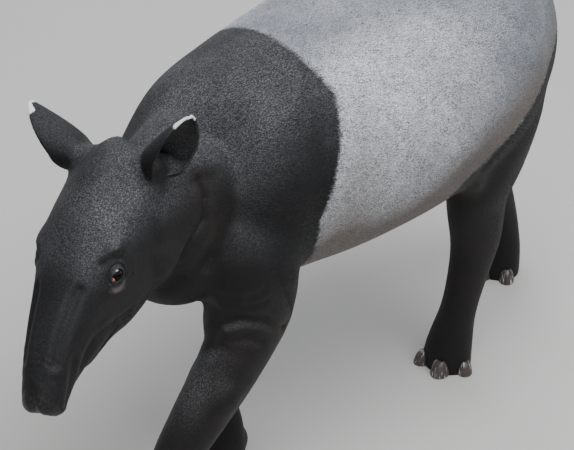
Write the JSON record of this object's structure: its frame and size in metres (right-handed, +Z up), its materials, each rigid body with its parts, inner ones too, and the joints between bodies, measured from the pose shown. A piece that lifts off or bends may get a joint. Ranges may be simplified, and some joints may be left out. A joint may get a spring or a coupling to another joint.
{
  "type": "malayan tapir",
  "caption": "Life-size still model of a Malayan tapir walking with its head low, black with a pale saddle over back, flanks and rump",
  "frame": {"origin": "centre of the bounding box on the floor, under the middle of the body", "axes": "+X the way the tapir walks, +Y to its left, +Z up"},
  "size_m": [1.7428, 0.5298, 1.0471],
  "materials": {
    "black_coat": "short matt hide hair, near black with a faint grey sheen",
    "pale_coat": "short greyish white hair, finely speckled",
    "hoof_horn": "worn brown-grey hoof horn with paler streaks",
    "eye_gloss": "wet, very dark brown"
  },
  "bodies": {
    "root": {"head": "black_coat", "proboscis": "black_coat", "lower_jaw": "black_coat", "eye_left": "eye_gloss", "eye_right": "eye_gloss", "ear_left": "black_coat", "ear_right": "black_coat", "neck": "black_coat", "forequarters": "black_coat", "saddle": "pale_coat", "tail": "black_coat", "foreleg_left": "black_coat", "foreleg_right": "black_coat", "forefoot_left": "black_coat", "forefoot_right": "black_coat", "hindleg_left": "black_coat", "hindleg_right": "black_coat", "hindfoot_left": "black_coat", "hindfoot_right": "black_coat", "hoof_fore_left_1": "hoof_horn", "hoof_fore_left_2": "hoof_horn", "hoof_fore_left_3": "hoof_horn", "hoof_fore_left_4": "hoof_horn", "hoof_fore_right_1": "hoof_horn", "hoof_fore_right_2": "hoof_horn", "hoof_fore_right_3": "hoof_horn", "hoof_fore_right_4": "hoof_horn", "hoof_hind_left_1": "hoof_horn", "hoof_hind_left_2": "hoof_horn", "hoof_hind_left_3": "hoof_horn", "hoof_hind_right_1": "hoof_horn", "hoof_hind_right_2": "hoof_horn", "hoof_hind_right_3": "hoof_horn"}
  },
  "joints": []
}
